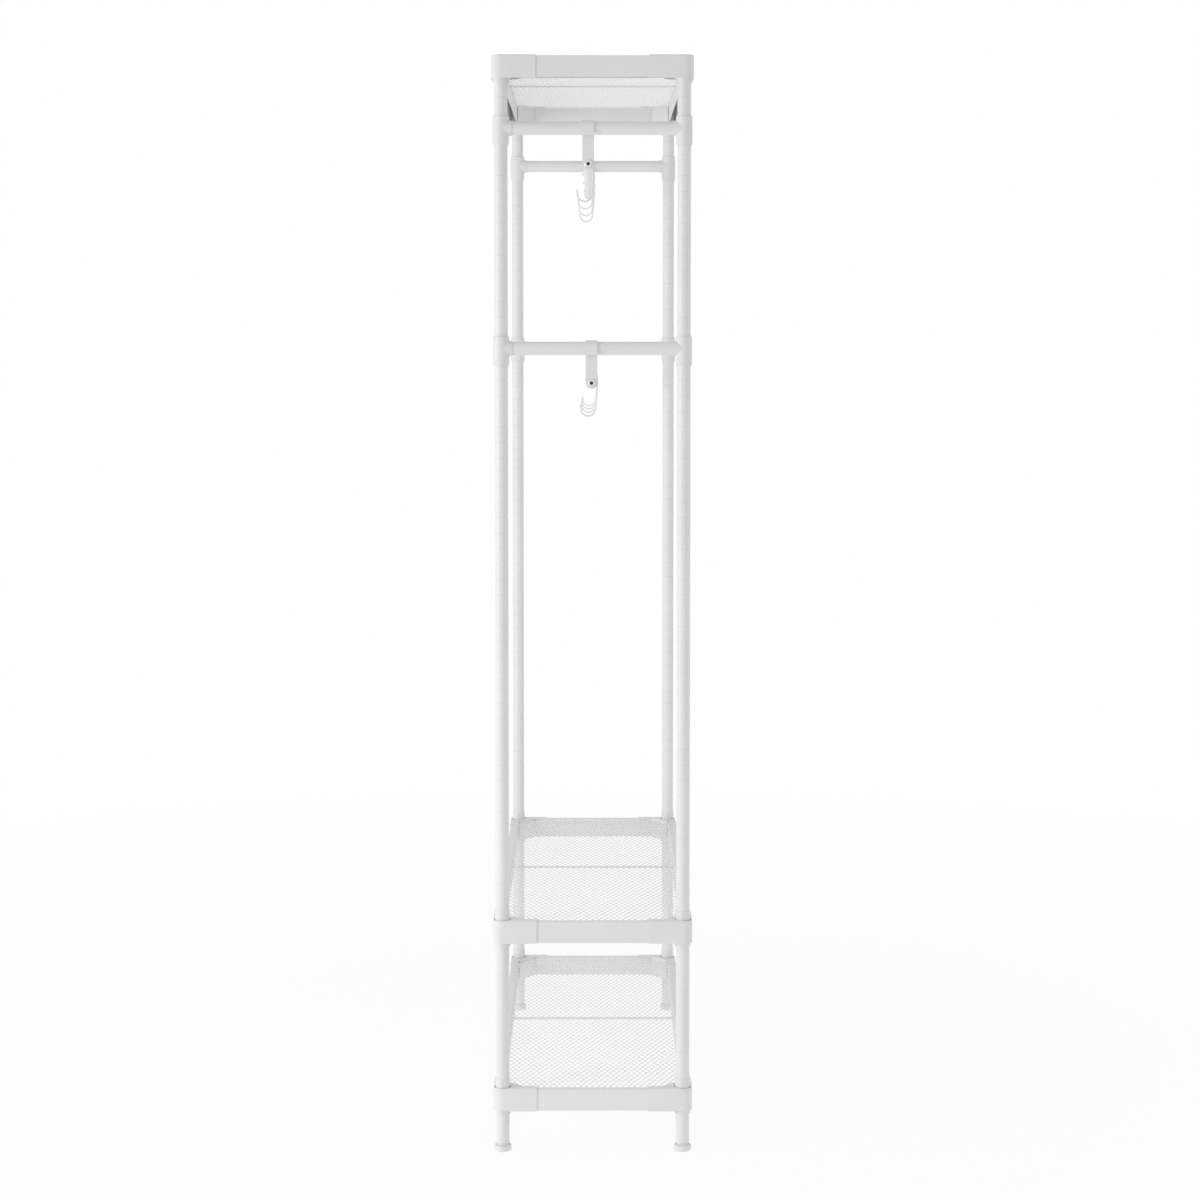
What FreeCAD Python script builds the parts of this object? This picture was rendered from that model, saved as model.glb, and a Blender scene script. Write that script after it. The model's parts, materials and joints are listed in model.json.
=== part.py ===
import FreeCAD, Part
import math
import os

os.makedirs("parts", exist_ok=True)

V = FreeCAD.Vector
UP = V(0, 0, 1)
ORIGIN = V(0, 0, 0)
ARC_MID = math.sqrt(0.5)

# Layout in millimetres: X along the length, Y across the depth, Z up, origin on the floor
POST_SPAN_X = 869.0
POST_SPAN_Y = 297.0
HX = POST_SPAN_X / 2
HY = POST_SPAN_Y / 2
CORNERS = {"near_left": (1, -1), "near_right": (1, 1), "far_left": (-1, -1), "far_right": (-1, 1)}
ENDS = {"near": 1, "far": -1}

# Fits
FIT = 0.05
MOVING_GAP = 0.3

# Posts: three lengths of grooved tube
POST_R = 11.1
POST_WALL = 1.2
POST_BORE_R = POST_R - POST_WALL
POST_CHAMFER = 0.5
JOINT_LOW_Z = 546.3
JOINT_HIGH_Z = 1146.5
JOINER_LENGTH = 36.0
CAP_SHEET = 2.0
CAP_PLUG = 12.0
GROOVE_PITCH = 25.4
GROOVE_DEPTH = 0.5
GROOVE_WIDTH = 2.4
GROOVE_END_LAND = 14.0
GROOVE_LOW_Z = 91.1
GROOVE_MID_Z = 1126.4
GROOVE_HIGH_Z = 1324.3
MIDDLE_SHELF_GROOVES = 11
UPPER_BAR_GROOVES = 14
TOP_SHELF_GROOVES = 18

# Feet
FOOT_R = 14.3
FOOT_DISC = 10.0
FOOT_EDGE = 2.4
FOOT_HUB_R = 9.2
FOOT_HUB = 3.2
FOOT_STUD_R = 4.0
FOOT_STUD = 30.0
SOCKET_LENGTH = 34.0
POST_FOOT_Z = FOOT_DISC + FOOT_HUB + MOVING_GAP

# Tapered sleeves in halves, thin end up
SLEEVE_SPLIT = 0.2
SLEEVE_RIDGE = GROOVE_DEPTH - 2 * FIT
SLEEVE_RIDGE_WIDTH = GROOVE_WIDTH / 2
SLEEVE_FOOT_LEAD = 1.0
SHELF_SLEEVE_THIN = 0.65
SHELF_SLEEVE_THICK = 1.8
SHELF_SLEEVE_R = (POST_R + SHELF_SLEEVE_THIN, POST_R + SHELF_SLEEVE_THICK)
SHELF_SLEEVE_ABOVE = 15.0
SHELF_SLEEVE_BELOW = 7.0
TOP_SLEEVE_SHORT = 2.0
COLLAR_SLEEVE_THIN = 0.5
COLLAR_SLEEVE_THICK = 1.1
COLLAR_SLEEVE_R = (POST_R + COLLAR_SLEEVE_THIN, POST_R + COLLAR_SLEEVE_THICK)
COLLAR_SLEEVE_ABOVE = 2.0
COLLAR_SLEEVE_BELOW = 3.0

# Shelf corners: moulded covers with a mouth round the sleeve
CORNER_MOUTH_GAP = 0.85
CORNER_MOUTH_R = SHELF_SLEEVE_R[1] + CORNER_MOUTH_GAP
CORNER_MOUTH_DEPTH = 12.5
CORNER_FACE_WALL = 1.75
CORNER_FACE = CORNER_MOUTH_R + CORNER_FACE_WALL
CORNER_BOSS_WALL = 3.75
CORNER_BOSS_R = CORNER_MOUTH_R + CORNER_BOSS_WALL
CORNER_WING = 56.5
CORNER_OVER = 1.5
CORNER_UNDER = 1.0
CORNER_SKIN = 1.25
CORNER_WEB = 1.5
CORNER_ROUND = 2.5
POCKET_OPEN = 1.0

# Shelf rims: channels, open below, with an outer band and an inner skirt
RIM_HEIGHT = 35.0
RIM_WALL = 0.8
RIM_FACE = CORNER_FACE - CORNER_SKIN - FIT
RIM_ROUND = 2.0
RIM_END_GAP = 0.5
FLANGE_IN = 1.0
RIM_BELOW_GROOVE = 21.0

# Mesh panels between the skirts, with a cross rib under the middle
PANEL_SHEET = 1.0
PANEL_CHAMFER = 33.0
PANEL_DIAGONAL = 2 * FLANGE_IN + PANEL_CHAMFER
DIAMOND_LONG = 62.3
DIAMOND_SHORT = 26.2
DIAMOND_OPEN = 0.76
DIAMOND_MARGIN = 3.0
RIB_WIDTH = 5.0
RIB_SHEET = 2.5

# Crossbars and the collars that carry them
BAR_UNDER_POST = 0.1
BAR_R = POST_R - BAR_UNDER_POST
BAR_WALL = 1.2
COLLAR_WALL = 1.1
COLLAR_R = COLLAR_SLEEVE_R[1] + COLLAR_WALL
COLLAR_OVER_BAR = 8.0
COLLAR_UNDER_BAR = 15.0
COLLAR_ABOVE = BAR_R + COLLAR_OVER_BAR
COLLAR_BELOW = BAR_R + COLLAR_UNDER_BAR
COLLAR_EDGE = 0.8
BOSS_ROOT_WALL = 2.0
BOSS_END_WALL = 1.1
BAR_SOCKET = 4.4

# Rails, brackets and screws
RAIL_R = 8.0
RAIL_WALL = 1.0
RAIL_DROP = 56.5
PLUG_LENGTH = 20.0
STRAP_WIDTH = 19.0
STRAP_SHEET = 2.0
STRAP_LIP = 10.5
SCREW_R = 3.0
SCREW_LENGTH = 16.0
SCREW_HEAD_R = 6.0
SCREW_HEAD = 3.0
SCREW_HEAD_ROUND = 1.0
SCREW_SOCKET_R = 2.9
SCREW_SOCKET = 2.0
RAIL_Y = {"upper": -7.0, "lower": -1.6}

# Hooks
WIRE_R = 1.5
HOOK_COUNT = 4
HOOK_FROM_POST = 93.0
HOOK_TAIL_ANGLE = 140.0
HOOK_TAIL = 4.5
HOOK_CUP_R = 12.0
HOOK_CUP_Y = -4.5
HOOK_CUP_Z = -44.4
HOOK_CUP_OPEN = 5.7
HOOK_TIP = 7.0

# Heights that follow from the groove grid
SHELF_GROOVE = {
    "low": GROOVE_LOW_Z,
    "middle": GROOVE_LOW_Z + MIDDLE_SHELF_GROOVES * GROOVE_PITCH,
    "top": GROOVE_HIGH_Z + TOP_SHELF_GROOVES * GROOVE_PITCH,
}
BAR_Z = {"upper": GROOVE_HIGH_Z + UPPER_BAR_GROOVES * GROOVE_PITCH, "lower": GROOVE_HIGH_Z}
TOP_RIM_Z = SHELF_GROOVE["top"] - RIM_BELOW_GROOVE
POST_TOP_Z = TOP_RIM_Z + RIM_HEIGHT


def export(node, solids):
    shape = solids[0] if len(solids) == 1 else Part.makeCompound(solids)
    shape.exportStep("parts/" + node + ".step")


def moved(shape, x, y, z):
    copy = shape.copy()
    copy.translate(V(x, y, z))
    return copy


def outlined(points, place):
    """A face inside an outline: (a, b) ends a straight run, (am, bm, a, b) an arc through (am, bm)."""
    edges = []
    start = place(*points[-1][-2:])
    for point in points:
        end = place(*point[-2:])
        if len(point) == 4:
            edges.append(Part.Arc(start, place(*point[:2]), end).toShape())
        else:
            edges.append(Part.makeLine(start, end))
        start = end
    return Part.Face(Part.Wire(edges))


def revolved(points):
    return outlined(points, lambda r, z: V(r, 0, z)).revolve(ORIGIN, UP, 360)


def prism(points, z0, z1):
    return outlined(points, lambda x, y: V(x, y, z0)).extrude(V(0, 0, z1 - z0))


def tube_x(radius, bore, x0, x1):
    outer = Part.makeCylinder(radius, x1 - x0, V(x0, 0, 0), V(1, 0, 0))
    return outer.cut(Part.makeCylinder(bore, x1 - x0, V(x0, 0, 0), V(1, 0, 0)))


def in_corners(shape):
    """Four copies of a shape built at the +X +Y corner, mirrored into every corner."""
    copies = []
    for sx, sy in CORNERS.values():
        copy = shape.copy()
        if sx < 0:
            copy = copy.mirror(ORIGIN, V(1, 0, 0))
        if sy < 0:
            copy = copy.mirror(ORIGIN, V(0, 1, 0))
        copies.append(copy)
    return copies


def at_ends(shapes):
    """The corner copies of several shapes, sorted by the end they stand at."""
    copies = {end: [] for end in ENDS}
    for shape in shapes:
        near_left, near_right, far_left, far_right = in_corners(shape)
        copies["near"] += [near_left, near_right]
        copies["far"] += [far_left, far_right]
    return copies


# Posts
def post_length(z0, z1, groove_z):
    outer = [(POST_R - POST_CHAMFER, z0), (POST_R, z0 + POST_CHAMFER)]
    first = math.ceil((z0 + GROOVE_END_LAND - groove_z) / GROOVE_PITCH)
    last = math.floor((z1 - GROOVE_END_LAND - groove_z) / GROOVE_PITCH)
    for k in range(first, last + 1):
        z = groove_z + k * GROOVE_PITCH
        outer.append((POST_R, z - GROOVE_WIDTH / 2))
        outer.append((POST_R - GROOVE_DEPTH, z - GROOVE_WIDTH / 4))
        outer.append((POST_R - GROOVE_DEPTH, z + GROOVE_WIDTH / 4))
        outer.append((POST_R, z + GROOVE_WIDTH / 2))
    outer += [(POST_R, z1 - POST_CHAMFER), (POST_R - POST_CHAMFER, z1)]
    return revolved(outer + [(POST_BORE_R, z1), (POST_BORE_R, z0)])


LENGTHS = {
    "lower": (POST_FOOT_Z, JOINT_LOW_Z, GROOVE_LOW_Z),
    "middle": (JOINT_LOW_Z, JOINT_HIGH_Z, GROOVE_MID_Z),
    "upper": (JOINT_HIGH_Z, POST_TOP_Z, GROOVE_HIGH_Z),
}
for part_name, (z_start, z_end, z_groove) in LENGTHS.items():
    tube = post_length(z_start, z_end, z_groove)
    for corner, (sx, sy) in CORNERS.items():
        export("post_" + part_name + "_" + corner, [moved(tube, sx * HX, sy * HY, 0)])

# Steel inserts inside the posts: joiners between two lengths, and sockets for the feet
inserts = []
for joint_z in (JOINT_LOW_Z, JOINT_HIGH_Z):
    base = V(HX, HY, joint_z - JOINER_LENGTH / 2)
    inserts += in_corners(Part.makeCylinder(POST_BORE_R - FIT, JOINER_LENGTH, base))
socket_top = POST_FOOT_Z + SOCKET_LENGTH
socket = revolved([
    (FOOT_STUD_R + MOVING_GAP, POST_FOOT_Z),
    (POST_BORE_R - FIT, POST_FOOT_Z),
    (POST_BORE_R - FIT, socket_top),
    (FOOT_STUD_R + MOVING_GAP, socket_top),
])
inserts += in_corners(moved(socket, HX, HY, 0))
export("post_inserts", inserts)

cap = revolved([
    (0, POST_TOP_Z - CAP_PLUG),
    (POST_BORE_R - FIT, POST_TOP_Z - CAP_PLUG),
    (POST_BORE_R - FIT, POST_TOP_Z),
    (POST_R, POST_TOP_Z),
    (POST_R, POST_TOP_Z + CAP_SHEET / 2),
    (POST_R - CAP_SHEET / 2, POST_TOP_Z + CAP_SHEET),
    (0, POST_TOP_Z + CAP_SHEET),
])
export("post_caps", in_corners(moved(cap, HX, HY, 0)))

# Feet
foot_bulge = FOOT_EDGE * (1 - ARC_MID)
foot = revolved([
    (0, 0),
    (FOOT_R - FOOT_EDGE, 0),
    (FOOT_R - foot_bulge, foot_bulge, FOOT_R, FOOT_EDGE),
    (FOOT_R, FOOT_DISC - FOOT_EDGE),
    (FOOT_R - foot_bulge, FOOT_DISC - foot_bulge, FOOT_R - FOOT_EDGE, FOOT_DISC),
    (FOOT_HUB_R, FOOT_DISC),
    (FOOT_HUB_R, FOOT_DISC + FOOT_HUB),
    (FOOT_STUD_R, FOOT_DISC + FOOT_HUB),
    (FOOT_STUD_R, FOOT_DISC + FOOT_HUB + FOOT_STUD),
    (0, FOOT_DISC + FOOT_HUB + FOOT_STUD),
])
for corner, (sx, sy) in CORNERS.items():
    export("foot_" + corner, [moved(foot, sx * HX, sy * HY, 0)])


# Tapered sleeves
def sleeve_halves(groove_z, z0, z1, radii):
    """Two halves of a tapered sleeve, thin end up, with an inner ridge that sits in a post groove."""
    top_r, foot_r = radii
    bore = POST_R + FIT
    ring = revolved([
        (bore, z0),
        (foot_r - SLEEVE_FOOT_LEAD / 2, z0),
        (foot_r, z0 + SLEEVE_FOOT_LEAD),
        (top_r, z1),
        (bore, z1),
        (bore, groove_z + SLEEVE_RIDGE_WIDTH / 2),
        (bore - SLEEVE_RIDGE, groove_z + SLEEVE_RIDGE_WIDTH / 4),
        (bore - SLEEVE_RIDGE, groove_z - SLEEVE_RIDGE_WIDTH / 4),
        (bore, groove_z - SLEEVE_RIDGE_WIDTH / 2),
    ])
    reach = 2 * foot_r
    half = Part.makeBox(2 * reach, reach, z1 - z0, V(-reach, SLEEVE_SPLIT / 2, z0))
    front = ring.common(half)
    return [front, front.mirror(ORIGIN, V(0, 1, 0))]


def taper_bore(z0, z1, sleeve_z0, sleeve_z1, radii):
    """The cone a collar needs between z0 and z1 to sit on a sleeve."""
    top_r, foot_r = radii
    start = sleeve_z0 + SLEEVE_FOOT_LEAD
    slope = (top_r - foot_r) / (sleeve_z1 - start)
    at = [foot_r + slope * (z - start) + FIT for z in (z0, z1)]
    return Part.makeCone(at[0], at[1], z1 - z0, V(0, 0, z0))


# Shelf corners, local axes u and v pointing from a post into the shelf
def corner_outline(face, wing, inner, diagonal):
    """An L round a post: outer faces, wing length, inner faces and the diagonal where the wings meet."""
    return [
        (-face, 0),
        (-face * ARC_MID, -face * ARC_MID, 0, -face),
        (wing, -face),
        (wing, inner),
        (diagonal - inner, inner),
        (inner, diagonal - inner),
        (inner, wing),
        (-face, wing),
    ]


def corner_piece(rim_z, bore):
    """A moulded cover, open below, with a boss round the post and a web along the panel's corner."""
    z0 = rim_z - CORNER_UNDER
    z1 = rim_z + RIM_HEIGHT + CORNER_OVER
    block = prism(corner_outline(CORNER_FACE, CORNER_WING, FLANGE_IN, PANEL_DIAGONAL), z0, z1)
    top_edges = []
    for edge in block.Edges:
        middle = edge.CenterOfMass
        if min(middle.x, middle.y) < -CORNER_FACE / 2 and abs(edge.BoundBox.ZMin - z1) < FIT:
            top_edges.append(edge)
    block = block.makeFillet(CORNER_ROUND, top_edges)
    pocket_line = PANEL_DIAGONAL - CORNER_WEB * math.sqrt(2)
    wing = CORNER_WING + POCKET_OPEN
    pocket_shape = corner_outline(RIM_FACE + FIT, wing, FLANGE_IN + POCKET_OPEN, pocket_line)
    pocket = prism(pocket_shape, z0, rim_z + RIM_HEIGHT + FIT)
    boss = Part.makeCylinder(CORNER_BOSS_R, z1 - z0, V(0, 0, z0)).common(block)
    return block.cut(pocket).fuse(boss).cut(bore).removeSplitter()


def place_local(shape):
    """Turn local u, v axes into the +X +Y corner, where u points to -X and v to -Y."""
    turned = shape.copy()
    turned.rotate(ORIGIN, UP, 180)
    return moved(turned, HX, HY, 0)


# Shelf rims and mesh panels
def rim_profile():
    bulge = RIM_ROUND * (1 - ARC_MID)
    inner_bulge = RIM_WALL + (RIM_ROUND - RIM_WALL) * (1 - ARC_MID)
    under = RIM_HEIGHT - RIM_WALL
    shoulder = RIM_HEIGHT - RIM_ROUND
    return [
        (-RIM_FACE + RIM_WALL, 0),
        (-RIM_FACE, 0),
        (-RIM_FACE, shoulder),
        (-RIM_FACE + bulge, RIM_HEIGHT - bulge, -RIM_FACE + RIM_ROUND, RIM_HEIGHT),
        (FLANGE_IN - RIM_ROUND, RIM_HEIGHT),
        (FLANGE_IN - bulge, RIM_HEIGHT - bulge, FLANGE_IN, shoulder),
        (FLANGE_IN, 0),
        (FLANGE_IN - RIM_WALL, 0),
        (FLANGE_IN - RIM_WALL, shoulder),
        (FLANGE_IN - inner_bulge, RIM_HEIGHT - inner_bulge, FLANGE_IN - RIM_ROUND, under),
        (-RIM_FACE + RIM_ROUND, under),
        (-RIM_FACE + inner_bulge, RIM_HEIGHT - inner_bulge, -RIM_FACE + RIM_WALL, shoulder),
    ]


def rims(rim_z):
    profile = rim_profile()
    long_half = HX - CORNER_BOSS_R - RIM_END_GAP
    short_half = HY - CORNER_BOSS_R - RIM_END_GAP
    side = outlined(profile, lambda v, z: V(-long_half, HY - v, rim_z + z))
    end = outlined(profile, lambda u, z: V(HX - u, -short_half, rim_z + z))
    side_bar = side.extrude(V(2 * long_half, 0, 0))
    end_bar = end.extrude(V(0, 2 * short_half, 0))
    return [
        side_bar,
        side_bar.mirror(ORIGIN, V(0, 1, 0)),
        end_bar,
        end_bar.mirror(ORIGIN, V(1, 0, 0)),
    ]


def mesh_panel():
    """A flat panel with staggered diamonds, its corners cut off beside the webs of the shelf corners."""
    x = HX - FLANGE_IN - FIT
    y = HY - FLANGE_IN - FIT
    cut = PANEL_CHAMFER
    plate = prism([
        (x, y - cut), (x - cut, y), (cut - x, y), (-x, y - cut),
        (-x, cut - y), (cut - x, -y), (x - cut, -y), (x, cut - y),
    ], 0, PANEL_SHEET)
    long_half = DIAMOND_OPEN * DIAMOND_LONG / 2
    short_half = DIAMOND_OPEN * DIAMOND_SHORT / 2
    room_x = HX - FLANGE_IN - DIAMOND_MARGIN - long_half
    room_y = HY - FLANGE_IN - DIAMOND_MARGIN - short_half
    corner_room = HX + HY - PANEL_DIAGONAL - DIAMOND_MARGIN - long_half
    rows = math.floor(2 * room_y / DIAMOND_SHORT)
    columns = math.ceil(room_x / DIAMOND_LONG)
    diamonds = []
    for row in range(-rows, rows + 1):
        for column in range(-columns, columns + 1):
            at_x = (column + (row % 2) / 2) * DIAMOND_LONG
            at_y = row * DIAMOND_SHORT / 2
            if abs(at_x) <= room_x and abs(at_x) + abs(at_y) <= corner_room:
                corners = [
                    (at_x + long_half, at_y), (at_x, at_y + short_half),
                    (at_x - long_half, at_y), (at_x, at_y - short_half),
                ]
                diamonds.append(prism(corners, 0, PANEL_SHEET))
    return plate.cut(Part.makeCompound(diamonds))


panel = mesh_panel()
ribs = []
rib_half = HY - FLANGE_IN - FIT
for shelf, groove_z in SHELF_GROOVE.items():
    rim_z = groove_z - RIM_BELOW_GROOVE
    corner_top = rim_z + RIM_HEIGHT + CORNER_OVER
    sleeve_z0 = rim_z - CORNER_UNDER - SHELF_SLEEVE_BELOW
    sleeve_z1 = corner_top + SHELF_SLEEVE_ABOVE
    mouth_z = corner_top - CORNER_MOUTH_DEPTH
    bore = taper_bore(rim_z - CORNER_UNDER, mouth_z, sleeve_z0, sleeve_z1, SHELF_SLEEVE_R)
    bore = bore.fuse(Part.makeCylinder(CORNER_MOUTH_R, corner_top - mouth_z, V(0, 0, mouth_z)))
    halves = sleeve_halves(groove_z, sleeve_z0, sleeve_z1, SHELF_SLEEVE_R)
    if shelf == "top":
        keep = Part.makeBox(4 * POST_R, 4 * POST_R, POST_TOP_Z - TOP_SLEEVE_SHORT - sleeve_z0,
                            V(-2 * POST_R, -2 * POST_R, sleeve_z0))
        halves = [half.common(keep) for half in halves]
    panel_z = rim_z + RIM_HEIGHT - RIM_ROUND - PANEL_SHEET
    rib_z = panel_z - FIT - RIB_SHEET
    ribs.append(Part.makeBox(RIB_WIDTH, 2 * rib_half, RIB_SHEET, V(-RIB_WIDTH / 2, -rib_half, rib_z)))
    export("shelf_" + shelf + "_rims", rims(rim_z))
    export("shelf_" + shelf + "_tray", [moved(panel, 0, 0, panel_z)])
    export("shelf_" + shelf + "_corners", in_corners(place_local(corner_piece(rim_z, bore))))
    for end, sleeves in at_ends([moved(half, HX, HY, 0) for half in halves]).items():
        export("shelf_" + shelf + "_sleeves_" + end, sleeves)
export("shelf_ribs", ribs)


# Crossbars, collars and collar sleeves
def collar(bar_z):
    """A barrel round the post with a short tapered boss, towards the other post, that the bar sits in."""
    z0 = bar_z - COLLAR_BELOW
    z1 = bar_z + COLLAR_ABOVE
    barrel = revolved([
        (0, z0),
        (COLLAR_R - COLLAR_EDGE, z0),
        (COLLAR_R, z0 + COLLAR_EDGE),
        (COLLAR_R, z1 - COLLAR_EDGE),
        (COLLAR_R - COLLAR_EDGE, z1),
        (0, z1),
    ])
    reach = COLLAR_R + BAR_SOCKET
    boss = Part.makeCone(BAR_R + BOSS_ROOT_WALL, BAR_R + BOSS_END_WALL, reach, V(0, 0, bar_z), V(0, -1, 0))
    bar_hole = Part.makeCylinder(BAR_R + FIT, reach, V(0, FIT - COLLAR_R, bar_z), V(0, -1, 0))
    taper = taper_bore(z0, z1, z0 - COLLAR_SLEEVE_BELOW, z1 + COLLAR_SLEEVE_ABOVE, COLLAR_SLEEVE_R)
    return moved(barrel.fuse(boss).cut(bar_hole).cut(taper), HX, HY, 0)


for level, bar_z in BAR_Z.items():
    bar_half = HY - COLLAR_R
    outer = Part.makeCylinder(BAR_R, 2 * bar_half, V(0, -bar_half, bar_z), V(0, 1, 0))
    bar = outer.cut(Part.makeCylinder(BAR_R - BAR_WALL, 2 * bar_half, V(0, -bar_half, bar_z), V(0, 1, 0)))
    export("crossbars_" + level, [moved(bar, sx * HX, 0, 0) for sx in ENDS.values()])
    export("collars_" + level, in_corners(collar(bar_z)))
    low = bar_z - COLLAR_BELOW - COLLAR_SLEEVE_BELOW
    high = bar_z + COLLAR_ABOVE + COLLAR_SLEEVE_ABOVE
    halves = sleeve_halves(bar_z, low, high, COLLAR_SLEEVE_R)
    for end, sleeves in at_ends([moved(half, HX, HY, 0) for half in halves]).items():
        export("collar_sleeves_" + level + "_" + end, sleeves)


# Rails, brackets and screws, built about the rail axis and the near crossbar
SADDLE_R = BAR_R + MOVING_GAP
SADDLE_OUT = SADDLE_R + STRAP_SHEET
RAIL_HALF = HX - SADDLE_OUT


def bracket():
    """A strap that comes up on the inner side, over the crossbar and down its outer face."""
    width = STRAP_WIDTH
    z = RAIL_DROP
    ring = Part.makeCylinder(SADDLE_OUT, width, V(HX, -width / 2, z), V(0, 1, 0))
    ring = ring.cut(Part.makeCylinder(SADDLE_R, width, V(HX, -width / 2, z), V(0, 1, 0)))
    saddle = ring.common(Part.makeBox(2 * SADDLE_OUT, width, SADDLE_OUT, V(HX - SADDLE_OUT, -width / 2, z)))
    lip = Part.makeBox(STRAP_SHEET, width, STRAP_LIP, V(HX + SADDLE_R, -width / 2, z - STRAP_LIP))
    strap = Part.makeBox(STRAP_SHEET, width, z, V(HX - SADDLE_OUT, -width / 2, 0))
    end = Part.makeCylinder(width / 2, STRAP_SHEET, V(HX - SADDLE_OUT, 0, 0), V(1, 0, 0))
    hole = Part.makeCylinder(SCREW_R + FIT, STRAP_SHEET, V(HX - SADDLE_OUT, 0, 0), V(1, 0, 0))
    return saddle.fuse(lip).fuse(strap).fuse(end).cut(hole).removeSplitter()


def screw():
    face = HX - SADDLE_OUT + STRAP_SHEET
    head = Part.makeCylinder(SCREW_HEAD_R, SCREW_HEAD, V(face, 0, 0), V(1, 0, 0))
    outer_edge = [edge for edge in head.Edges if abs(edge.CenterOfMass.x - face - SCREW_HEAD) < FIT]
    head = head.makeFillet(SCREW_HEAD_ROUND, outer_edge)
    base = V(face - SCREW_LENGTH - STRAP_SHEET, 0, 0)
    shank = Part.makeCylinder(SCREW_R, SCREW_LENGTH + STRAP_SHEET, base, V(1, 0, 0))
    socket_base = V(face + SCREW_HEAD - SCREW_SOCKET, 0, 0)
    drive = Part.makeCylinder(SCREW_SOCKET_R, SCREW_SOCKET, socket_base, V(1, 0, 0))
    return head.fuse(shank).cut(drive).removeSplitter()


def plug():
    return tube_x(RAIL_R - RAIL_WALL - FIT, SCREW_R + FIT, RAIL_HALF - PLUG_LENGTH, RAIL_HALF)


# Hooks: one bent wire about the rail axis, in the plane across the rail
def hook():
    loop_r = RAIL_R + MOVING_GAP + WIRE_R
    cup = V(0, HOOK_CUP_Y, HOOK_CUP_Z)
    reach = cup.Length
    along = V(0, cup.y / reach, cup.z / reach)
    across = V(0, -along.z, along.y)
    lean = (loop_r - HOOK_CUP_R) / reach
    normal = along * lean + across * math.sqrt(1 - lean * lean)

    def on(centre, radius, degrees):
        angle = math.radians(degrees)
        return centre + V(0, radius * math.cos(angle), radius * math.sin(angle))

    start_angle = math.degrees(math.atan2(normal.z, normal.y))
    tail_start = on(ORIGIN, loop_r, HOOK_TAIL_ANGLE)
    tail_turn = math.radians(HOOK_TAIL_ANGLE + 90)
    tail_tip = tail_start + V(0, math.cos(tail_turn), math.sin(tail_turn)) * HOOK_TAIL
    shank_top = normal * loop_r
    shank_foot = cup + normal * HOOK_CUP_R
    cup_end_angle = -180 + HOOK_CUP_OPEN
    cup_end = on(cup, HOOK_CUP_R, cup_end_angle)
    tip_turn = math.radians(cup_end_angle - 90)
    tip = cup_end + V(0, math.cos(tip_turn), math.sin(tip_turn)) * HOOK_TIP
    edges = [
        Part.makeLine(tail_tip, tail_start),
        Part.Arc(tail_start, on(ORIGIN, loop_r, (HOOK_TAIL_ANGLE + start_angle) / 2), shank_top).toShape(),
        Part.makeLine(shank_top, shank_foot),
        Part.Arc(shank_foot, on(cup, HOOK_CUP_R, (start_angle + cup_end_angle) / 2), cup_end).toShape(),
        Part.makeLine(cup_end, tip),
    ]
    section = Part.Wire(Part.makeCircle(WIRE_R, tail_tip, tail_start - tail_tip))
    rod = Part.Wire(edges).makePipeShell([section], True, True)
    rounded = rod.fuse(Part.makeSphere(WIRE_R, tail_tip)).fuse(Part.makeSphere(WIRE_R, tip))
    wire = rounded.Solids[0]
    middle = wire.CenterOfMass
    wire.rotate(ORIGIN, V(1, 0, 0), math.degrees(math.atan2(-middle.y, -middle.z)))
    return wire


hanging_hook = hook()
hook_step = (POST_SPAN_X - 2 * HOOK_FROM_POST) / (HOOK_COUNT - 1)
for level, rail_y in RAIL_Y.items():
    rail_z = BAR_Z[level] - RAIL_DROP
    rail = tube_x(RAIL_R, RAIL_R - RAIL_WALL, -RAIL_HALF, RAIL_HALF)
    export("rail_" + level, [moved(rail, 0, rail_y, rail_z)])
    for base_name, shape in {"rail_plugs": plug(), "rail_screws": screw()}.items():
        pair = [shape, shape.mirror(ORIGIN, V(1, 0, 0))]
        export(base_name + "_" + level, [moved(piece, 0, rail_y, rail_z) for piece in pair])
    near_bracket = bracket()
    far_bracket = near_bracket.mirror(ORIGIN, V(1, 0, 0))
    export("bracket_" + level + "_near", [moved(near_bracket, 0, rail_y, rail_z)])
    export("bracket_" + level + "_far", [moved(far_bracket, 0, rail_y, rail_z)])
    for number in range(HOOK_COUNT):
        hook_x = HX - HOOK_FROM_POST - number * hook_step
        export("hook_" + level + "_" + str(number + 1), [moved(hanging_hook, hook_x, rail_y, rail_z)])
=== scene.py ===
import json
import math

import bpy
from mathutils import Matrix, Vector
from mathutils.geometry import delaunay_2d_cdt


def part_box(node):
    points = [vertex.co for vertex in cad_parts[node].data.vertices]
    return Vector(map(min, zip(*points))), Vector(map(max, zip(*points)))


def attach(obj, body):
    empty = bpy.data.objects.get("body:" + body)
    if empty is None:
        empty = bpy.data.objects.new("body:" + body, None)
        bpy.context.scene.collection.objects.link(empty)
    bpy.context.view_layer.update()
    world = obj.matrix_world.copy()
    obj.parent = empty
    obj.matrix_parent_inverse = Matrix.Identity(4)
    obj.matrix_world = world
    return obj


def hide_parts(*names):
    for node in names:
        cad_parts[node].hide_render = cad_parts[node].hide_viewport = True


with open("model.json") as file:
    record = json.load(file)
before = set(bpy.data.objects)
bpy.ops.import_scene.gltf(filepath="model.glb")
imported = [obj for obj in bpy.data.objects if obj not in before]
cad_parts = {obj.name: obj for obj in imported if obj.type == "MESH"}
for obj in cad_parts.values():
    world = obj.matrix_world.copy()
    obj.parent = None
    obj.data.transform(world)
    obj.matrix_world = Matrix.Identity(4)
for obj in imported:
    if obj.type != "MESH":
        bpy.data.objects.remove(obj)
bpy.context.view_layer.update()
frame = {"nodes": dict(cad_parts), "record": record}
scene = bpy.context.scene

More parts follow.
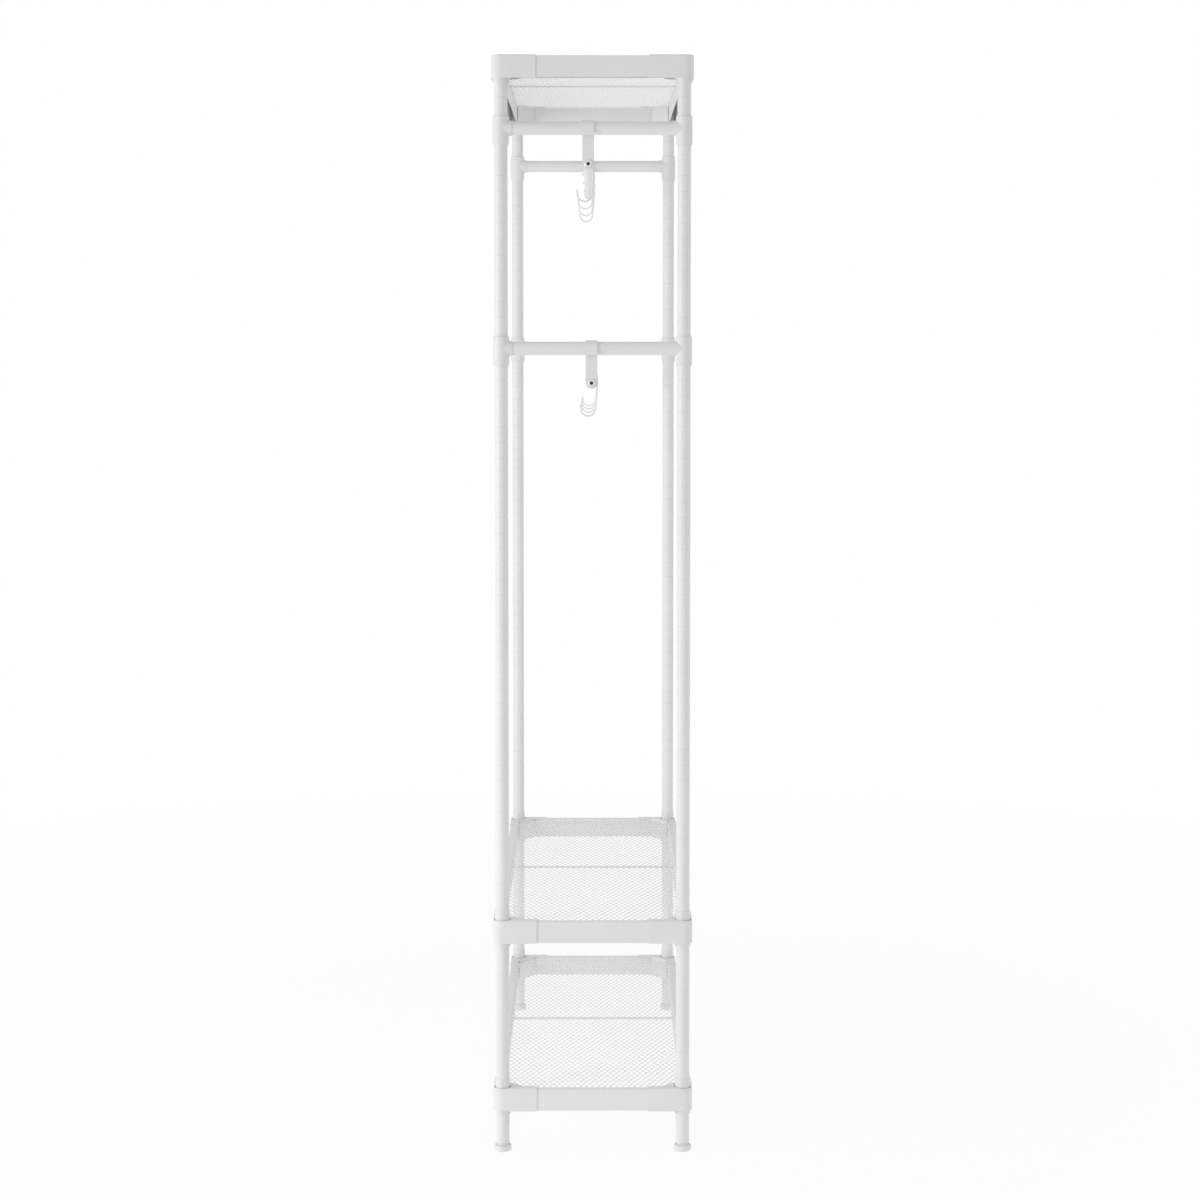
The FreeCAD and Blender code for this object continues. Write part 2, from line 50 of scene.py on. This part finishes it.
# Camera, for a square image of 1200 pixels, in metres and radians
IMAGE_PX = 1200
FOCAL_PX = 2477.8
CENTRE_ROW_PX = 482.9
SENSOR_MM = 36.0
CAMERA_PLACE = (4.4674, 0.0045, 1.3327)
PITCH = 0.0563
YAW = 0.0019

# Tones of each finish, darker and lighter
METAL_TONES = ((0.785, 0.785, 0.785), (0.815, 0.815, 0.815))
MESH_TONES = ((0.875, 0.875, 0.875), (0.900, 0.900, 0.900))
WIRE_TONES = ((0.860, 0.860, 0.860), (0.885, 0.885, 0.885))
PLASTIC_TONES = ((0.780, 0.780, 0.793), (0.806, 0.806, 0.818))
ZINC_TONES = ((0.62, 0.62, 0.64), (0.80, 0.80, 0.81))

# Drive sockets in the rail screws, in metres: the shade in each socket is painted on as black
SHADED_SOCKET_RADIUS = 0.0029
SOCKET_PAINTED_SHADE = (0.012, 0.012, 0.013, 1.0)

# Mesh panels of expanded sheet, in metres: long diamonds with a short flat on either side
SHEET_THICKNESS = 0.0008
CORNER_CUT = 0.033
BORDER = 0.0015
LONG_PITCH = 0.0240
SHORT_PITCH = 0.0100
HALF_LENGTH = 0.0101
HALF_WIDTH = 0.0042
HALF_FLAT = 0.0015
SMALLEST_AREA = 12e-6
MERGE_DISTANCE = 1e-7
INSIDE_OUTLINES = 1

# Floor and backdrop, in metres: both look white, and give less light than they show
FLOOR_REACH = 14.0
FLOOR_HEIGHT = -0.0003
FLOOR_COLOUR = (0.95, 0.95, 0.95, 1.0)
FLOOR_SHADOW = 0.10
SHADOW_FULL_WITHIN = 0.9
SHADOW_GONE_BEYOND = 3.0
BOUNCE_NEAR = 0.86
BOUNCE_FAR = 0.44
BOUNCE_NEAR_WITHIN = 1.5
BOUNCE_FAR_BEYOND = 6.0
WORLD_COLOUR = (1.0, 1.0, 1.0, 1.0)
WORLD_LIGHT = 0.66

# Lamps, round soft boxes on both long sides, in metres and watts
LAMP_TARGET = (0.0, 0.0, 0.9)
LAMP_SIZE = 1.6
KEY_PLACE = (1.8, -3.05, 1.1)
KEY_POWER = 46.0
FILL_PLACE = (1.0, 3.3, 1.1)
FILL_POWER = 8.0


# Camera
def facing(direction):
    """The turn that points a camera or a lamp along a direction, with its top up."""
    return direction.to_track_quat("-Z", "Y").to_euler()


def add_camera():
    """A camera off the near end, with its lens shifted so that its axis meets the centre row."""
    data = bpy.data.cameras.new("camera")
    data.sensor_width = SENSOR_MM
    data.lens = SENSOR_MM * FOCAL_PX / IMAGE_PX
    data.shift_y = (CENTRE_ROW_PX - IMAGE_PX / 2) / IMAGE_PX
    camera = bpy.data.objects.new("camera", data)
    camera.location = CAMERA_PLACE
    level = math.cos(PITCH)
    forward = Vector((-math.cos(YAW) * level, math.sin(YAW) * level, -math.sin(PITCH)))
    camera.rotation_euler = facing(forward)
    scene.collection.objects.link(camera)
    scene.camera = camera


# Shader nodes
def feed(tree, socket, value):
    """Link a socket to a node's output, or set it to a plain value."""
    if isinstance(value, bpy.types.NodeSocket):
        tree.links.new(value, socket)
    else:
        socket.default_value = value


def add_node(tree, kind, **inputs):
    """A node with its inputs fed by name, where an underscore stands for a space."""
    made = tree.nodes.new(kind)
    for key, value in inputs.items():
        feed(tree, made.inputs[key.replace("_", " ")], value)
    return made


def math_node(tree, operation, first, second):
    made = tree.nodes.new("ShaderNodeMath")
    made.operation = operation
    feed(tree, made.inputs[0], first)
    feed(tree, made.inputs[1], second)
    return made.outputs[0]


def length_node(tree, vector):
    made = tree.nodes.new("ShaderNodeVectorMath")
    made.operation = "LENGTH"
    feed(tree, made.inputs[0], vector)
    return made.outputs["Value"]


def ranged(tree, value, start, stop, low, high):
    """Low where the value is at start, high where it is at stop, and level beyond both."""
    limits = {"From_Min": start, "From_Max": stop, "To_Min": low, "To_Max": high}
    made = add_node(tree, "ShaderNodeMapRange", Value=value, **limits)
    return made.outputs["Result"]


# Materials
class Surface:
    """A principled material in object coordinates, in metres, with small helpers for its nodes."""

    def __init__(self, name):
        self.material = bpy.data.materials.new(name)
        self.material.use_nodes = True
        self.tree = self.material.node_tree
        self.shader = self.tree.nodes["Principled BSDF"]
        self.place = self.tree.nodes.new("ShaderNodeTexCoord").outputs["Object"]

    def node(self, kind, **inputs):
        return add_node(self.tree, kind, **inputs)

    def give(self, key, value):
        """Feed one input of the material's shader."""
        feed(self.tree, self.shader.inputs[key], value)

    def noise(self, scale, detail=2.0, rough=0.5):
        settings = {"Scale": scale, "Detail": detail, "Roughness": rough}
        made = self.node("ShaderNodeTexNoise", Vector=self.place, **settings)
        return made.outputs["Fac"]

    def tone(self, value, tones, low=0.35, high=0.65):
        """The darker tone where the value is under low, the lighter where it is over high."""
        made = self.node("ShaderNodeValToRGB", Fac=value)
        for element, position, colour in zip(made.color_ramp.elements, (low, high), tones):
            element.position = position
            element.color = (*colour, 1.0)
        return made.outputs["Color"]

    def spread(self, value, low, high):
        """Low where the value is zero, high where it is one."""
        return ranged(self.tree, value, 0.0, 1.0, low, high)

    def bump(self, height, distance, strength, under=None):
        made = self.node("ShaderNodeBump", Height=height, Distance=distance, Strength=strength)
        if under is not None:
            feed(self.tree, made.inputs["Normal"], under)
        return made.outputs["Normal"]

    def within(self, y, z, radius):
        """One inside a cylinder along X through (y, z), and zero outside."""
        place = self.node("ShaderNodeSeparateXYZ", Vector=self.place)
        across = math_node(self.tree, "SUBTRACT", place.outputs["Y"], y)
        up = math_node(self.tree, "SUBTRACT", place.outputs["Z"], z)
        offset = self.node("ShaderNodeCombineXYZ", Y=across, Z=up)
        return math_node(self.tree, "LESS_THAN", length_node(self.tree, offset.outputs[0]), radius)


def powder_coat(name, tones):
    """Satin powder coat: fine orange peel, a slow change of tone and of gloss."""
    made = Surface(name)
    made.give("Base Color", made.tone(made.noise(scale=7.0), tones))
    made.give("Roughness", made.spread(made.noise(scale=60.0), low=0.34, high=0.50))
    peel = made.bump(made.noise(scale=620.0, detail=1.0), distance=0.0003, strength=0.03)
    grain = made.noise(scale=2400.0, detail=1.0)
    made.give("Normal", made.bump(grain, distance=0.0001, strength=0.05, under=peel))
    made.give("Specular IOR Level", 0.45)
    return made.material


def moulded(name, tones):
    """Matte moulded plastic: spark-eroded grain and faint flow marks."""
    made = Surface(name)
    made.give("Base Color", made.tone(made.noise(scale=22.0, detail=3.0), tones))
    made.give("Roughness", made.spread(made.noise(scale=140.0), low=0.44, high=0.58))
    grain = made.noise(scale=1700.0, detail=2.0, rough=0.6)
    made.give("Normal", made.bump(grain, distance=0.0002, strength=0.16))
    made.give("Specular IOR Level", 0.4)
    return made.material


def zinc(name, shaded_socket_axis=None):
    """Plain zinc plate, spangled; where an axis (y, z) is given, the shade in the drive socket
    around it is painted black.
    """
    made = Surface(name)
    colour = made.tone(made.noise(scale=900.0, detail=3.0), ZINC_TONES, low=0.3, high=0.7)
    metallic = 1.0
    if shaded_socket_axis is not None:
        # painted shade: within the socket radius of the axis the colour is black and not metal, in
        # place of the shade in the recess
        inside = made.within(*shaded_socket_axis, SHADED_SOCKET_RADIUS)
        mix = made.tree.nodes.new("ShaderNodeMix")
        mix.data_type = "RGBA"
        feed(made.tree, mix.inputs["Factor"], inside)
        feed(made.tree, mix.inputs["A"], colour)
        feed(made.tree, mix.inputs["B"], SOCKET_PAINTED_SHADE)
        colour = mix.outputs["Result"]
        metallic = made.spread(inside, low=1.0, high=0.0)
    made.give("Base Color", colour)
    made.give("Metallic", metallic)
    made.give("Roughness", made.spread(made.noise(scale=400.0), low=0.30, high=0.46))
    made.give("Normal", made.bump(made.noise(scale=1500.0), distance=0.0001, strength=0.15))
    return made.material


def dress_nodes(looks, hook_look):
    """Give every node the look of its slot, the hooks a paler coat and the screws painted black
    shade in their drive sockets.
    """
    for subpart in frame["record"]["subparts"]:
        node = frame["nodes"][subpart["node"]]
        node.data.materials.clear()
        if subpart["node"].startswith("hook_"):
            node.data.materials.append(hook_look)
        else:
            node.data.materials.append(looks[subpart["material_slot"]])
    for level in ("upper", "lower"):
        screws = frame["nodes"]["rail_screws_" + level]
        low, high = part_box("rail_screws_" + level)
        axis = ((low.y + high.y) / 2, (low.z + high.z) / 2)
        screws.data.materials[0] = zinc("zinc_screw_painted_socket_shade_" + level, axis)


# Mesh panels
def both_halves(half):
    """An outline that a half turn about the origin leaves as it is, from its first half."""
    return half + [(-x, -y) for x, y in half]


def sides(points):
    """Each point of an outline with the one after it."""
    return zip(points, points[1:] + points[:1])


def octagon(x, y):
    """A rectangle from (-x, -y) to (x, y) with its corners cut off."""
    half = [(x, y - CORNER_CUT), (x - CORNER_CUT, y), (CORNER_CUT - x, y), (-x, y - CORNER_CUT)]
    return [Vector(point) for point in both_halves(half)]


def diamond(row, column):
    """One opening of the sheet; every other row is moved along by half a pitch."""
    x = (column + (row % 2) / 2) * LONG_PITCH
    y = row * SHORT_PITCH / 2
    half = [(HALF_LENGTH, 0.0), (HALF_FLAT, HALF_WIDTH), (-HALF_FLAT, HALF_WIDTH)]
    return [Vector((x + along, y + across)) for along, across in both_halves(half)]


def area(points):
    """The area of an outline that runs counter-clockwise."""
    return sum(a.x * b.y - a.y * b.x for a, b in sides(points)) / 2


def clip(points, fences):
    """The part of a convex outline inside every fence (point, inward normal)."""
    for base, inward in fences:
        kept = []
        for a, b in sides(points):
            depth_a = (a - base).dot(inward)
            depth_b = (b - base).dot(inward)
            if depth_a >= 0:
                kept.append(a)
            if depth_a * depth_b < 0:
                kept.append(a.lerp(b, depth_a / (depth_a - depth_b)))
        points = kept
        if len(points) < 3:
            return []
    return points


def mesh_sheet(x, y):
    """A flat eight-sided sheet less every diamond, which the sheet's border cuts short."""
    outline = octagon(x, y)
    fences = []
    for a, b in sides(outline):
        along = (b - a).normalized()
        inward = Vector((-along.y, along.x))
        fences.append((a + inward * BORDER, inward))
    rows = math.ceil(2 * y / SHORT_PITCH)
    columns = math.ceil(x / LONG_PITCH)
    points = list(outline)
    faces = [list(range(len(outline)))]
    for row in range(-rows, rows + 1):
        for column in range(-columns - 1, columns + 1):
            hole = clip(diamond(row, column), fences)
            if hole and area(hole) > SMALLEST_AREA:
                faces.append(list(range(len(points), len(points) + len(hole))))
                points += hole
    made = delaunay_2d_cdt(points, [], faces, INSIDE_OUTLINES, MERGE_DISTANCE)
    vertices, _, triangles, _, _, sources = made
    # A triangle of the sheet comes from the outline, which is face 0, and from no hole
    solid = [triangle for triangle, source in zip(triangles, sources) if list(source) == [0]]
    mesh = bpy.data.meshes.new("mesh_sheet")
    mesh.from_pydata([(p.x, p.y, 0.0) for p in vertices], [], solid)
    mesh.validate()
    return mesh


def add_mesh_panels(look):
    """The same sheet in all three shelves, in place of the coarser panels of the solids."""
    panel_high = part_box("shelf_low_tray")[1]
    sheet_mesh = mesh_sheet(panel_high.x, panel_high.y)
    sheet_mesh.materials.append(look)
    for shelf in ("low", "middle", "top"):
        node = "shelf_" + shelf + "_tray"
        sheet = bpy.data.objects.new("mesh_" + shelf, sheet_mesh)
        sheet.location.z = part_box(node)[0].z
        scene.collection.objects.link(sheet)
        thick = sheet.modifiers.new("sheet", "SOLIDIFY")
        thick.thickness = SHEET_THICKNESS
        thick.offset = 1.0
        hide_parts(node)
        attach(sheet, "frame")


# Floor, backdrop and light
def seen_as_background(tree):
    """One for rays that see the background: from the camera, off gloss and through glass."""
    path = tree.nodes.new("ShaderNodeLightPath")
    total = path.outputs["Is Camera Ray"]
    for name in ("Is Glossy Ray", "Is Transmission Ray"):
        total = math_node(tree, "MAXIMUM", total, path.outputs[name])
    return total


def pale_floor():
    """A white glow, mixed with a lit surface near the middle so that a faint shadow shows."""
    material = bpy.data.materials.new("pale_floor")
    material.use_nodes = True
    tree = material.node_tree
    tree.nodes.clear()
    place = tree.nodes.new("ShaderNodeTexCoord").outputs["Object"]
    distance = length_node(tree, place)
    seen = seen_as_background(tree)
    shadow = ranged(tree, distance, SHADOW_FULL_WITHIN, SHADOW_GONE_BEYOND, FLOOR_SHADOW, 0.0)
    bounce = ranged(tree, distance, BOUNCE_NEAR_WITHIN, BOUNCE_FAR_BEYOND, BOUNCE_NEAR, BOUNCE_FAR)
    glow = add_node(tree, "ShaderNodeEmission", Strength=math_node(tree, "MAXIMUM", seen, bounce))
    lit = add_node(tree, "ShaderNodeBsdfDiffuse", Color=FLOOR_COLOUR)
    mix = add_node(tree, "ShaderNodeMixShader", Fac=math_node(tree, "MULTIPLY", seen, shadow))
    feed(tree, mix.inputs[1], glow.outputs[0])
    feed(tree, mix.inputs[2], lit.outputs[0])
    add_node(tree, "ShaderNodeOutputMaterial", Surface=mix.outputs[0])
    return material


def add_floor():
    """A wide square just under the feet."""
    mesh = bpy.data.meshes.new("floor")
    quarters = ((-1, -1), (1, -1), (1, 1), (-1, 1))
    corners = [(x * FLOOR_REACH, y * FLOOR_REACH, FLOOR_HEIGHT) for x, y in quarters]
    mesh.from_pydata(corners, [], [(0, 1, 2, 3)])
    mesh.materials.append(pale_floor())
    floor = bpy.data.objects.new("floor", mesh)
    scene.collection.objects.link(floor)


def add_backdrop():
    """A world that is white where it is seen and dimmer as a light."""
    world = bpy.data.worlds.new("studio")
    scene.world = world
    world.use_nodes = True
    tree = world.node_tree
    background = tree.nodes["Background"]
    strength = ranged(tree, seen_as_background(tree), 0.0, 1.0, WORLD_LIGHT, 1.0)
    feed(tree, background.inputs["Color"], WORLD_COLOUR)
    feed(tree, background.inputs["Strength"], strength)


def add_soft_box(name, place, power):
    data = bpy.data.lights.new(name, "AREA")
    data.shape = "DISK"
    data.size = LAMP_SIZE
    data.energy = power
    lamp = bpy.data.objects.new(name, data)
    lamp.location = place
    lamp.rotation_euler = facing(Vector(LAMP_TARGET) - Vector(place))
    scene.collection.objects.link(lamp)


# The scene
add_camera()
slot_looks = {
    "white_metal": powder_coat("white_powder_coat", METAL_TONES),
    "white_mesh": powder_coat("white_mesh_coat", MESH_TONES),
    "white_plastic": moulded("white_moulded_plastic", PLASTIC_TONES),
    "steel": zinc("zinc_plate"),
}
wire_look = powder_coat("white_wire_coat", WIRE_TONES)
dress_nodes(slot_looks, wire_look)
add_mesh_panels(slot_looks["white_mesh"])
add_floor()
add_backdrop()
add_soft_box("key", KEY_PLACE, KEY_POWER)
add_soft_box("fill", FILL_PLACE, FILL_POWER)

scene.view_settings.view_transform = "Standard"
